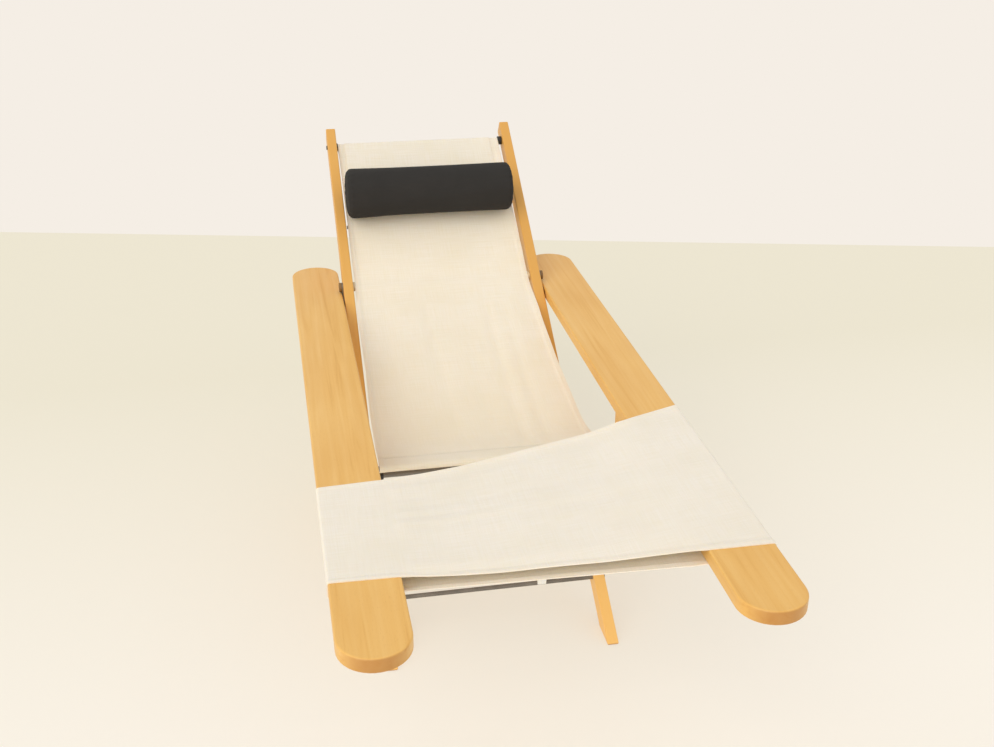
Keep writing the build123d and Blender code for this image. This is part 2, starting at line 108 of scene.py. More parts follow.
# Share of the band's sag along those edges, as (x in m, share)
BAND_FRONT_DIP = ((-0.262, 0), (-0.225, 0.42), (-0.165, 0.76), (-0.09, 0.92), (-0.01, 0.68),
                  (0.085, 0.64), (0.17, 0.26), (0.225, 0.05), (0.25, 0))
BAND_REAR_DIP = ((-0.262, 0), (-0.184, 0.72), (-0.104, 1.0), (0.168, 0.95), (0.22, 0.40), (0.255, 0))

# Bolster: roundness of its ends, and how far below its axis it is flattened by its bed
BOLSTER_RIM = 13 * MM
BOLSTER_BED = 63.0 * MM
# Its flap: how far down the back from the top rod the bolster's axis lies, how far the flap
# reaches on under it, from the rod's axis to the middle of the flap, and the flap's thickness
BOLSTER_HANG = 226 * MM
FLAP_TUCK = 12 * MM
FLAP_LIFT = 9.35 * MM
FLAP_CLOTH = 0.9 * MM

# The camera that the photograph was fitted with
CAMERA_PLACE = Vector((-0.42596, -2.41716, 1.68097))
CAMERA_YAW = 0.192538
CAMERA_PITCH = 0.440867
CAMERA_ROLL = -0.00607522
CAMERA_LENS = 44.195
CAMERA_SENSOR = 36
PHOTO_WIDTH = 994
PHOTO_HEIGHT = 747
# Pixel rows where the floor ends at the photograph's left and right edges
FLOOR_END_LEFT = 232
FLOOR_END_RIGHT = 247
# How far the floor goes on beyond those edges, and toward the camera from its far end
FLOOR_SIDE_REACH = 8
FLOOR_NEAR_REACH = 14


def linear(hex_colour):
    """An sRGB hex colour as linear RGBA."""
    parts = [int(hex_colour[i:i + 2], 16) / 255 for i in (1, 3, 5)]
    return tuple(c / 12.92 if c <= 0.04045 else ((c + 0.055) / 1.055) ** 2.4 for c in parts) + (1.0,)


def size_property(name, description, default):
    """A length in metres for the sidebar."""
    return FloatProperty(name=name, description=description, default=default, min=0, unit="LENGTH",
                         precision=4)


def colour_property(name, description, hex_colour):
    """A colour for the sidebar."""
    return FloatVectorProperty(name=name, description=description, default=linear(hex_colour), size=4,
                               min=0, max=1, subtype="COLOR")


class ChaiseSizes(bpy.types.PropertyGroup):
    """Sizes of the soft parts."""
    cloth: size_property("Canvas thickness", "Thickness of one layer of canvas", 1.1 * MM)
    hem: size_property("Hem width", "Width of the turned side hems", 11 * MM)
    stitch: size_property("Stitch pitch", "Distance from one stitch to the next", 5 * MM)
    band_sag: size_property("Band sag", "How far the leg-rest band dips between the arms", 11 * MM)
    fold: size_property("Band folds", "Height of the folds across the leg-rest band", 2.0 * MM)
    crease: size_property("Seat creases", "Depth of the soft creases in the canvas seat", 1.6 * MM)
    bolster_radius: size_property("Bolster radius", "Radius of the bolster before it swells", 63 * MM)
    bolster_half: size_property("Bolster half length", "Half of the bolster's length", 217 * MM)


class ChaiseColours(bpy.types.PropertyGroup):
    """Colours of the finishes."""
    beech_pale: colour_property("Beech, pale", "Palest streaks of the oiled beech", "#EFC375")
    beech_mid: colour_property("Beech, middle", "Main colour of the oiled beech", "#E9B763")
    # Deepest streaks, and also the tint of the painted shade that deepens the boards upward.
    beech_deep: colour_property("Beech, deep", "Deepest streaks of the oiled beech", "#DBA34D")
    canvas: colour_property("Seat canvas", "Undyed cotton canvas of the seat", "#F5ECDE")
    band: colour_property("Band canvas", "Bleached cotton canvas of the leg-rest band", "#F8F0E4")
    bolster: colour_property("Bolster cloth", "Charcoal cloth of the bolster", "#2E2D2C")
    steel: colour_property("Coated steel", "Grey coating of the rods and plates", "#6F6962")
    nylon: colour_property("Nylon", "Black nylon of the spacers and caps", "#1B1A1A")
    floor: colour_property("Floor, near", "Pale studio floor in front of the chair", "#FAF4E9")
    # The far floor tone is painted shade that the floor fades to toward the back.
    floor_far: colour_property("Floor, far", "Pale studio floor behind the chair", "#EDE7D4")
    wall: colour_property("Background", "Pale background above the floor", "#F5EEE5")


# Shader nodes


def add(tree, kind, inputs=None, stops=(), **settings):
    """Adds one shader node. An input is a value, a socket to link from, or a node whose first
    output in use is linked. A colour ramp takes its stops as (place, linear colour)."""
    made = tree.nodes.new("ShaderNode" + kind)
    for key, value in settings.items():
        setattr(made, key, value)
    for key, value in (inputs or {}).items():
        if isinstance(value, bpy.types.Node):
            value = next(socket for socket in value.outputs if socket.enabled)
        if isinstance(value, bpy.types.NodeSocket):
            tree.links.new(value, made.inputs[key])
        else:
            made.inputs[key].default_value = value
    if len(stops) > 2:
        made.color_ramp.elements.new(0.5)
    for index, (place, colour) in enumerate(stops):
        made.color_ramp.elements[index].position = place
        made.color_ramp.elements[index].color = colour
    return made


def tinted(tree, colour, *layers):
    """Lays tints over a colour, one after another. Each layer is the value that it goes by, the
    ends of that value's range, the tint's share at each end, how it blends, and the tint."""
    for value, low, high, share_low, share_high, blend, tint in layers:
        share = add(tree, "MapRange", {"Value": value, "From Min": low, "From Max": high,
                                       "To Min": share_low, "To Max": share_high})
        colour = add(tree, "Mix", {"Factor": share, "A": colour, "B": tint},
                     data_type="RGBA", blend_type=blend)
    return colour


def band_scale(pitch):
    """Scale of a wave texture whose bands are this far apart."""
    return 2 * math.pi / (20 * pitch)


def new_material(name):
    """Empty material, and its tree."""
    made = bpy.data.materials.new(name)
    made.use_nodes = True
    made.node_tree.nodes.clear()
    return made, made.node_tree


def finish_material(tree, shader, height, strength, distance):
    """Gives the shader its bump and joins it to the output."""
    bump = add(tree, "Bump", {"Height": height, "Strength": strength, "Distance": distance})
    tree.links.new(bump.outputs["Normal"], shader.inputs["Normal"])
    add(tree, "OutputMaterial", {"Surface": shader})


def oiled_beech(name, lean, seed, depth):
    """Oiled and rubbed beech board whose grain runs along +Y turned up by lean: a honey-coloured
    ground with long soft streaks, short dark ray flecks and a low satin shine. depth is the share
    of painted shade that deepens the tone from the floor up to the board's high end."""
    colours = bpy.context.scene.chaise_colours
    deep = tuple(colours.beech_deep)
    made, tree = new_material(name)
    place = add(tree, "TexCoord")
    board = add(tree, "Mapping", {"Vector": place.outputs["Object"], "Rotation": (-lean, 0, 0),
                                  "Location": (seed, 0.37 * seed, 0.61 * seed)})
    # Growth rings show as streaks 12 mm wide and about 0.4 m long. Ray flecks are 0.3 mm by 3 mm,
    # drawn 1 mm by 11 mm so that they show. The oil soaks in unevenly, in patches 70 mm by 0.22 m.
    noises = []
    for wide, long, detail, rough, bend in ((0.012, 0.40, 4.0, 0.55, 0.5), (0.001, 0.011, 2.0, 0.6, 0.0),
                                            (0.07, 0.22, 2.0, 0.5, 0.0)):
        at = add(tree, "Mapping", {"Vector": board, "Scale": (1 / wide, 1 / long, 1 / wide)})
        noises.append(add(tree, "TexNoise", {"Vector": at, "Scale": 1.0, "Detail": detail,
                                             "Roughness": rough, "Distortion": bend}))
    streaks, flecks, patches = noises
    ground = add(tree, "ValToRGB", {"Fac": streaks}, [
        (0.22, deep), (0.42, tuple(colours.beech_mid)), (0.85, tuple(colours.beech_pale))])
    flecked = tinted(tree, ground, (flecks, 0.60, 0.72, 0.0, 0.16, "MULTIPLY", linear("#B57B36")))
    up = add(tree, "SeparateXYZ", {"Vector": place.outputs["Object"]}).outputs["Z"]
    soaked = add(tree, "MapRange", {"Value": patches, "From Min": 0.38, "From Max": 0.68, "To Max": 0.30})
    # Painted shade: the tone deepens by depth from 0.06 m up to 0.55 m, on top of the oil's patches.
    painted_shade_up = add(tree, "MapRange", {"Value": up, "From Min": 0.06, "From Max": 0.55, "To Max": depth})
    soaked_and_painted_shade = add(tree, "Math", {0: soaked, 1: painted_shade_up}, operation="ADD", use_clamp=True)
    toned = add(tree, "Mix", {"Factor": soaked_and_painted_shade, "A": flecked, "B": deep}, data_type="RGBA")
    facing = add(tree, "Mapping", {"Vector": place.outputs["Normal"], "Rotation": (-lean, 0, 0)},
                 vector_type="VECTOR")
    along = add(tree, "SeparateXYZ", {"Vector": facing}).outputs["Y"]
    square = add(tree, "Math", {0: along}, operation="ABSOLUTE")
    # The feet are painted paler over their lowest 0.2 m: a painted highlight. End grain drinks more
    # oil, so faces square to the grain are darker.
    colour = tinted(tree, toned,
                    (up, 0.06, 0.20, 0.85, 0.0, "MIX", linear("#FFCB76")),
                    (square, 0.45, 0.95, 0.0, 0.75, "MIX", linear("#B4793A")))
    shine = add(tree, "MapRange", {"Value": streaks, "From Min": 0.3, "From Max": 0.7,
                                   "To Min": 0.50, "To Max": 0.38})
    pores = add(tree, "Math", {0: flecks, 1: streaks}, operation="ADD")
    shader = add(tree, "BsdfPrincipled", {"Base Color": colour, "Roughness": shine, "IOR": 1.48,
                                          "Coat Weight": 0.12, "Coat Roughness": 0.35})
    finish_material(tree, shader, pores, 0.10, 0.4 * MM)
    return made


def woven_canvas(name, ground, yellowing_and_shade_tint):
    """Plain-woven cotton canvas: matte, with thick and thin threads both ways, a little soft sheen
    from the loose fibres on its face, and some light that comes through the thin cloth."""
    made, tree = new_material(name)
    place = add(tree, "TexCoord")
    cloth = place.outputs["UV"]
    # The threads are 0.6 mm apart, drawn 1.5 mm apart so that the weave shows.
    across, along = [
        add(tree, "TexWave", {"Vector": cloth, "Scale": band_scale(1.5 * MM), "Distortion": 0.6,
                              "Detail": 1.0, "Detail Scale": 0.4}, bands_direction=way).outputs["Fac"]
        for way in ("X", "Y")]
    weave = add(tree, "Math", {0: across, 1: along}, operation="MULTIPLY")
    # Slubs: single threads about 2 mm thick over 70 to 80 mm, across and along.
    slubs = []
    for scale in ((1 / 0.002, 1 / 0.07, 1), (1 / 0.08, 1 / 0.0025, 1)):
        at = add(tree, "Mapping", {"Vector": cloth, "Scale": scale})
        slubs.append(add(tree, "TexNoise", {"Vector": at, "Scale": 1.0, "Detail": 2.0}))
    slub = add(tree, "Math", {0: slubs[0], 1: slubs[1]}, operation="ADD")
    cloudy = add(tree, "TexNoise", {"Vector": cloth, "Scale": 1 / 0.16, "Detail": 3.0})
    up = add(tree, "SeparateXYZ", {"Vector": place.outputs["Object"]}).outputs["Z"]
    # Slubs and cloudy patches have turned yellow. Below 0.5 m the same tint darkens the canvas toward
    # the floor as painted shade under the arms. The gaps in the weave are darker: painted shade between the
    # threads.
    colour = tinted(tree, ground,
                    (slub, 0.75, 1.3, 0.0, 0.6, "MIX", yellowing_and_shade_tint),
                    (cloudy, 0.45, 0.75, 0.0, 0.45, "MIX", yellowing_and_shade_tint),
                    (up, 0.28, 0.50, 0.75, 0.0, "MIX", yellowing_and_shade_tint),
                    (weave, 0.0, 1.0, 0.07, 0.0, "MULTIPLY", linear("#C8B792")))
    height = add(tree, "Math", {0: slub, 1: 0.6, 2: weave}, operation="MULTIPLY_ADD")
    shader = add(tree, "BsdfPrincipled", {
        "Base Color": colour, "Roughness": 0.88, "IOR": 1.45, "Specular IOR Level": 0.25,
        "Sheen Weight": 0.12, "Sheen Roughness": 0.5, "Subsurface Weight": 0.25,
        "Subsurface Radius": (0.003, 0.0024, 0.0016), "Subsurface Scale": 1.0})
    finish_material(tree, shader, height, 0.25, 0.3 * MM)
    return made


def charcoal_cloth():
    """Piece-dyed charcoal wool and cotton cloth, close woven and brushed: nearly black, matte, with
    a grey bloom of raised fibre that catches the light at its edges."""
    made, tree = new_material("charcoal_brushed_cloth")
    solid = add(tree, "TexCoord").outputs["Object"]
    # Threads 0.8 mm apart, drawn 1.8 mm apart; the twill runs slantwise round the bolster.
    slant = add(tree, "Mapping", {"Vector": solid, "Rotation": (SLOPE, 0.6, 0.5)})
    twill = add(tree, "TexWave", {"Vector": slant, "Scale": band_scale(1.8 * MM), "Distortion": 1.2,
                                  "Detail": 2.0, "Detail Scale": 0.6}, bands_direction="X").outputs["Fac"]
    fibre = add(tree, "TexNoise", {"Vector": solid, "Scale": 1 / 0.0012, "Detail": 3.0, "Roughness": 0.7})
    worn = add(tree, "TexNoise", {"Vector": solid, "Scale": 1 / 0.06, "Detail": 4.0})
    mixed = add(tree, "Math", {0: twill, 1: 0.5, 2: fibre}, operation="MULTIPLY_ADD")
    main_tone = tuple(bpy.context.scene.chaise_colours.bolster)
    ground = add(tree, "ValToRGB", {"Fac": mixed}, [
        (0.30, linear("#222120")), (0.62, main_tone), (1.0, linear("#3B3937"))])
    colour = tinted(tree, ground, (worn, 0.45, 0.75, 0.0, 0.35, "MIX", linear("#3A3836")))
    shader = add(tree, "BsdfPrincipled", {
        "Base Color": colour, "Roughness": 0.92, "IOR": 1.45, "Specular IOR Level": 0.12,
        "Sheen Weight": 0.02, "Sheen Roughness": 0.6})
    finish_material(tree, shader, mixed, 0.35, 0.6 * MM)
    return made


def speckled(name, base, marks, grain, roughness, **sockets):
    """Hard finish with fine grain and slow wear marks 50 mm across."""
    made, tree = new_material(name)
    solid = add(tree, "TexCoord").outputs["Object"]
    fine = add(tree, "TexNoise", {"Vector": solid, "Scale": 1 / grain, "Detail": 3.0})
    slow = add(tree, "TexNoise", {"Vector": solid, "Scale": 1 / 0.05, "Detail": 4.0})
    both = add(tree, "Math", {0: fine, 1: slow}, operation="MULTIPLY")
    colour = add(tree, "ValToRGB", {"Fac": both}, [(0.15, base), (0.42, marks)])
    gloss = add(tree, "MapRange", {"Value": slow, "From Min": 0.3, "From Max": 0.7,
                                   "To Min": roughness - 0.06, "To Max": roughness + 0.08})
    shader = add(tree, "BsdfPrincipled", {"Base Color": colour, "Roughness": gloss, **sockets})
    finish_material(tree, shader, fine, 0.15, 0.2 * MM)
    return made


# Meshes


def new_object(name, mesh, material):
    """Object that shows a mesh in one material."""
    made = bpy.data.objects.new(name, mesh)
    made.data.materials.append(material)
    bpy.context.scene.collection.objects.link(made)
    return made


def mesh_from(bm, name, sharp=40):
    """Finished mesh with smooth faces and sharp edges above an angle."""
    bmesh.ops.recalc_face_normals(bm, faces=bm.faces)
    mesh = bpy.data.meshes.new(name)
    bm.to_mesh(mesh)
    bm.free()
    mesh.polygons.foreach_set("use_smooth", [True] * len(mesh.polygons))
    mesh.set_sharp_from_angle(angle=math.radians(sharp))
    return mesh


def new_stitches(name, bm, material):
    """Object of the stitches sewn into a mesh."""
    return new_object(name, mesh_from(bm, name, 80), material)


def bake(obj):
    """Replaces an object's mesh by what its modifiers make of it."""
    graph = bpy.context.evaluated_depsgraph_get()
    mesh = bpy.data.meshes.new_from_object(obj.evaluated_get(graph))
    obj.modifiers.clear()
    obj.data = mesh


def make_finer(obj):
    """Subdivides an object's faces once, smoothly."""
    finer = obj.modifiers.new("finer", "SUBSURF")
    finer.levels = finer.render_levels = 1
    bake(obj)


def normals_of(grid, closed=False):
    """Unit normals of a grid of points; closed joins its last row to its first."""
    rows = len(grid)
    result = []
    for i, row in enumerate(grid):
        before = grid[i - 1] if closed or i else row
        after = grid[(i + 1) % rows] if closed or i < rows - 1 else row
        line = []
        for j in range(len(row)):
            across = row[min(j + 1, len(row) - 1)] - row[max(j - 1, 0)]
            line.append(across.cross(after[j] - before[j]).normalized())
        result.append(line)
    return result


def cloth_shell(name, grid, thickness, material, closed=False):
    """Closed shell of cloth round a grid of points in the middle of it. thickness gives metres
    for a column, and the UVs run in metres along and across."""
    rows, columns = len(grid), len(grid[0])
    middle = columns // 2
    normals = normals_of(grid, closed)
    bm = bmesh.new()
    uv = bm.loops.layers.uv.new("UVMap")
    layers = [[[bm.verts.new(grid[i][j] + normals[i][j] * side * thickness(j)) for j in range(columns)]
               for i in range(rows)] for side in (0.5, -0.5)]
    along = [0.0]
    across = []
    for i, row in enumerate(grid):
        along.append(along[-1] + (grid[(i + 1) % rows][middle] - row[middle]).length)
        places = [0.0]
        for a, b in zip(row, row[1:]):
            places.append(places[-1] + (b - a).length)
        across.append([place - places[middle] for place in places])

    def face(corners, places):
        made = bm.faces.new(corners)
        for loop, place in zip(made.loops, places):
            loop[uv].uv = place

    for i in range(rows if closed else rows - 1):
        k = (i + 1) % rows
        start, end = along[i], along[i + 1]
        for j in range(columns - 1):
            spots = [(across[i][j], start), (across[i][j + 1], start),
                     (across[k][j + 1], end), (across[k][j], end)]
            for layer in layers:
                face((layer[i][j], layer[i][j + 1], layer[k][j + 1], layer[k][j]), spots)
        for j in (0, columns - 1):
            place = across[i][j]
            rim = [(place, start), (place, end), (place + MM, end), (place + MM, start)]
            face((layers[0][i][j], layers[0][k][j], layers[1][k][j], layers[1][i][j]), rim)
    if not closed:
        for i in (0, rows - 1):
            for j in range(columns - 1):
                spots = [(across[i][j], along[i]), (across[i][j + 1], along[i]),
                         (across[i][j + 1], along[i] + MM), (across[i][j], along[i] + MM)]
                face((layers[0][i][j], layers[0][i][j + 1], layers[1][i][j + 1], layers[1][i][j]), spots)
    return new_object(name, mesh_from(bm, name), material)


def sew(bm, points, normals, pitch, lift, closed=False):
    """Lays a row of stitches along points on a cloth's face. Each is a short plump thread that
    covers two thirds of the pitch and whose tips dip into the cloth."""
    thread = 0.45 * MM
    cover = 0.34
    sink = 0.6
    spots = list(points) + ([points[0]] if closed else [])
    ways = list(normals) + ([normals[0]] if closed else [])
    carried = 0.0
    for (a, b), (na, nb) in zip(zip(spots, spots[1:]), zip(ways, ways[1:])):
        run = (b - a).length
        if run < 1e-9:
            continue
        way = (b - a) / run
        while carried < run:
            share = carried / run
            out = (na * (1 - share) + nb * share).normalized()
            side = way.cross(out)
            here = a + way * carried + out * lift
            half = way * pitch * cover
            dip = out * thread * sink
            ring = [bm.verts.new(here + side * (thread * s) + out * (thread * t))
                    for s, t in ((1, 0), (0, 1), (-1, 0), (0, -1))]
            tips = [bm.verts.new(here - half - dip), bm.verts.new(here + half - dip)]
            for k in range(4):
                bm.faces.new((ring[k], ring[(k + 1) % 4], tips[0]))
                bm.faces.new((ring[(k + 1) % 4], ring[k], tips[1]))
            carried += pitch
        carried -= run


def smooth_line(points, start, end, step):
    """Points at most step apart on a smooth line through the given ones, leaving along start and
    arriving along end."""
    spans = [(b - a).length for a, b in zip(points, points[1:])]
    ways = [start.normalized()]
    for i in range(1, len(points) - 1):
        ways.append((points[i + 1] - points[i - 1]) / (spans[i - 1] + spans[i]))
    ways.append(end.normalized())
    line = []
    for i, span in enumerate(spans):
        count = max(2, math.ceil(span / step))
        for k in range(count):
            t = k / count
            line.append(points[i] * (2 * t**3 - 3 * t**2 + 1) + ways[i] * (span * (t**3 - 2 * t**2 + t))
                        + points[i + 1] * (3 * t**2 - 2 * t**3) + ways[i + 1] * (span * (t**3 - t**2)))
    line.append(points[-1])
    return line


def turn_round(middle, radius, start, end, step=10):
    """Points on an arc in the side view, from angle start to end in degrees from +Y."""
    count = max(2, math.ceil(abs(end - start) / step))
    angles = [math.radians(start + (end - start) * k / count) for k in range(count + 1)]
    return [middle + Vector((0, math.cos(a), math.sin(a))) * radius for a in angles]


def steps(a, b, step):
    """Points from a toward b, b left out."""
    count = max(1, math.ceil((b - a).length / step))
    return [a.lerp(b, k / count) for k in range(count)]


def between(value, places):
    """Straight-line reading of a table of (place, value) rows."""
    for (x0, y0), (x1, y1) in zip(places, places[1:]):
        if value <= x1:
            return y0 + (y1 - y0) * max(0.0, min(1.0, (value - x0) / (x1 - x0)))
    return places[-1][1]


def eased_between(value, places, reach):
    """Reading of a table with its corners rounded off over reach on both sides."""
    return sum(between(value + reach * k / 3, places) for k in range(-3, 4)) / 7


def soft_step(low, high, value):
    """0 below low, 1 above high, smooth between."""
    t = max(0.0, min(1.0, (value - low) / (high - low)))
    return t * t * (3 - 2 * t)


def bump_at(value, middle, spread):
    """1 at the middle, dying away smoothly over the spread."""
    return math.exp(-((value - middle) / spread)**2)


def columns_across(hem, width, spacing):
    """Shares across a cloth from 0 to 1, closer together over the hems at both edges. The fourth
    from each edge lies where the hem is sewn."""
    shares = [k * hem / width for k in (0.0, 0.3, 0.7, 0.97, 1.06)]
    inner = max(4, round((width - 2 * hem) / spacing))
    first = shares[-1]
    body = [first + (1 - 2 * first) * k / inner for k in range(1, inner)]
    return shares + body + [1 - s for s in reversed(shares)]


def hem_columns(shares):
    """Columns where the side hems are sewn."""
    return 3, len(shares) - 4


def hemmed(shares, width, sizes, cloth, doubled):
    """Thickness of a cloth by column, doubled where its side hems are turned over."""
    return lambda j: cloth * (doubled if min(shares[j], 1 - shares[j]) * width < sizes.hem else 1.0)


def random_folds(seed, count, places, spreads, heights):
    """Folds as (share across the cloth, spread, drift along it, height)."""
    chance = random.Random(seed)
    return [(chance.uniform(*places), chance.uniform(*spreads), chance.uniform(-0.10, 0.10),
             chance.uniform(*heights)) for _ in range(count)]


def fold_height(folds, share, run):
    """Height of the folds at a share across the cloth and a distance along it."""
    return sum(height * bump_at(share - drift * run, place, spread) for place, spread, drift, height in folds)


# Pieces


def sling_rows():
    """Side-view line of the canvas seat from the hem under the top rod, round that rod, down over
    the rear rod, along the sag and round the seat rod to the hem behind it."""
    lift = CANVAS_LIFT
    inside = lift - CANVAS_LAYER
    seam = TOP_ROD - UP_BACK * TOP_CASING + OFF_BACK * inside
    off_rod = math.acos(lift / math.hypot(TOP_CASING, inside))
    leave = math.degrees(math.atan2(inside, -TOP_CASING) + off_rod + SLOPE)
    wrap = turn_round(TOP_ROD, lift, leave, 450 + math.degrees(SLOPE))
    line = steps(seam - UP_BACK * CASING_TURN, seam, 5 * MM) + steps(seam, wrap[0], 6 * MM) + wrap[:-1]
    bend = REAR_ROD + OFF_BACK * lift
    line += steps(TOP_ROD + OFF_BACK * lift, bend, 8 * MM)
    front = SEAT_ROD + Vector((0, 0, lift))
    hollow = [front + Vector((0, y, z)) * MM for y, z in SEAT_HOLLOW]
    line += smooth_line([bend, *hollow, front], -UP_BACK, Vector((0, -1, 0)), 8 * MM)[:-1]
    inside -= 1.2 * MM
    seam = SEAT_ROD + Vector((0, SEAT_CASING, inside))
    off_rod = math.acos(lift / math.hypot(SEAT_CASING, inside))
    arrive = math.degrees(math.atan2(inside, SEAT_CASING) - off_rod)
    wrap = turn_round(SEAT_ROD, lift, 90, 360 + arrive)
    line += wrap[:-1] + steps(wrap[-1], seam, 6 * MM)
    return line + [seam, seam + Vector((0, CASING_TURN, -0.3 * MM))]


def build_sling():
    """Canvas seat with hemmed sides, sewn round the top rod and the seat rod."""
    sizes = bpy.context.scene.chaise_sizes
    colours = bpy.context.scene.chaise_colours
    canvas = woven_canvas("cotton_canvas_undyed", tuple(colours.canvas), linear("#EBDFC6"))
    thread = woven_canvas("cotton_thread", linear("#F1E9D8"), linear("#E6DAC0"))
    # Half widths in mm, from the seat rod up the back. At the top the left one is wider.
    halves = [(SEAT_ROD.y + back, half) for back, half in (
        (0, 241), (0.1248, 237.5), (0.2172, 237.5), (0.3912, 230), (0.595, 230))] + [(REAR_ROD.y, 225)]
    left_half = halves + [(TOP_ROD.y, 227.5)]
    right_half = halves + [(TOP_ROD.y, 219)]
    usual_width = 0.46
    line = sling_rows()
    shares = columns_across(sizes.hem, usual_width, 8 * MM)
    creases = random_folds(41, 9, (0.05, 0.95), (0.018, 0.05), (0.4, 1.0))
    curl_height = 2.2 * MM
    scallop_depth = 1.4 * MM
    grid = []
    for index, point in enumerate(line):
        y = point.y
        left, right = -between(y, left_half) * MM, between(y, right_half) * MM
        width = right - left
        ahead = line[min(index + 1, len(line) - 1)] - line[max(index - 1, 0)]
        out = Vector((0, ahead.z, -ahead.y)).normalized()
        # The cloth is soft in the seat and up the back, and drawn flat at the rods and the bolster.
        seat = (1 - soft_step(REAR_ROD.y - 0.14, REAR_ROD.y - 0.02, y)) * soft_step(
            SEAT_ROD.y + 0.02, SEAT_ROD.y + 0.11, y)
        back = soft_step(REAR_ROD.y + 0.02, REAR_ROD.y + 0.08, y) * (
            1 - soft_step(BOLSTER.y - 0.14, BOLSTER.y - 0.03, y))
        slack = max(seat, back) if out.z > 0.2 else 0.0
        row = []
        for share in shares:
            x = left + share * width
            dip = fold_height(creases, share, y - 0.1)
            dip += 0.5 * math.sin(11 * share + 4 * y) + 0.35 * math.sin(23 * share - 9 * y + 1)
            edge = min(share, 1 - share) * width
            curl = curl_height * (1 - soft_step(0, 0.022, edge)) * slack
            scallop = scallop_depth * math.sin(9.0 * y + 3 * share) * (1 - soft_step(0, 0.05, edge)) * slack
            shift = curl - sizes.crease * dip * slack * soft_step(0, 0.03, edge)
            row.append(Vector((x + math.copysign(scallop, x) if x else x, y, point.z)) + out * shift)
        grid.append(row)
    sling = cloth_shell("sling_canvas", grid, hemmed(shares, usual_width, sizes, sizes.cloth, 1.9), canvas)

    normals = normals_of(grid)
    flip = -1 if normals[len(normals) // 2][len(shares) // 2].z < 0 else 1
    bm = bmesh.new()
    for j in hem_columns(shares):
        for side in (1, -1):
            sew(bm, [row[j] for row in grid], [row[j] * flip * side for row in normals], sizes.stitch,
                sizes.cloth * 0.85)
    # Each casing is held by two rows 3 mm apart.
    inner = 5  # a column clear of the hems
    upper = [i for i, row in enumerate(normals) if row[inner].z * flip > 0.4]
    for rod, casing, rise in ((TOP_ROD, TOP_CASING, math.tan(SLOPE)), (SEAT_ROD, SEAT_CASING, 0.0)):

        def off_seam(i):
            """How far a row is from where the casing is sewn."""
            return abs(math.hypot(grid[i][inner].y - rod.y, grid[i][inner].z - rod.z) - casing)

        nearest = min(upper, key=off_seam)
        for step in (0, 3 * MM):
            shift = Vector((0, step, step * rise))
            sew(bm, [p + shift for p in grid[nearest]], [n * flip for n in normals[nearest]], sizes.stitch,
                sizes.cloth * 0.75)
    stitches = new_stitches("sling_stitches", bm, thread)
    for piece in (sling, stitches):
        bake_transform(piece)
    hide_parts("sling")


def band_loop():
    """Points (x, z) round the leg-rest band's loop, from under the middle, up the right arm's
    outer side, back over the top and down the left arm's outer side."""
    gap = 0.95 * MM
    bend = 4.4 * MM
    right, top, low = ARM_OUTER + gap, ARM_TOP + gap, ARM_UNDERSIDE - gap
    points = []

    def run(x0, z0, x1, z1, step):
        count = max(1, math.ceil(math.hypot(x1 - x0, z1 - z0) / step))
        points.extend((x0 + (x1 - x0) * k / count, z0 + (z1 - z0) * k / count) for k in range(count))

    def corner(x, z, start):
        for k in range(5):
            a = math.radians(start + 90 * k / 5)
            points.append((x + bend * math.cos(a), z + bend * math.sin(a)))

    run(0, low, right - bend, low, 9 * MM)
    corner(right - bend, low + bend, 270)
    run(right, low + bend, right, top - bend, 5 * MM)
    corner(right - bend, top - bend, 0)
    run(right - bend, top, -right + bend, top, 7 * MM)
    corner(-right + bend, top - bend, 90)
    run(-right, top - bend, -right, low + bend, 5 * MM)
    corner(-right + bend, low + bend, 180)
    run(-right + bend, low, 0, low, 9 * MM)
    return points


def build_tab():
    """Small tape tab folded under the band's front hem."""
    tape = woven_canvas("white_cotton_tape", linear("#F3F1EA"), linear("#E9E4D6"))
    low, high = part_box("band_tab")
    middle = (low + high) / 2
    half = (high.x - low.x) / 2
    drop = high.z - low.z
    shares = (-1, -0.9, -0.4, 0, 0.4, 0.9, 1)
    # The tape goes down, round a full bend and up again, drifting a little to the right.
    count = 12
    grid = []
    for k in range(count + 1):
        turn = k / count
        sweep = math.pi * turn
        x = middle.x + 0.7 * MM * turn
        y = middle.y + 1.3 * MM * math.cos(sweep)
        z = high.z - drop * (0.12 + 0.80 * math.sin(sweep) ** 0.7) + 1.5 * MM
        grid.append([Vector((x + half * s, y + 0.5 * MM * s * s, z)) for s in shares])
    tab = cloth_shell("legrest_tab", grid, lambda j: 0.6 * MM, tape)
    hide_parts("band_tab")
    return tab


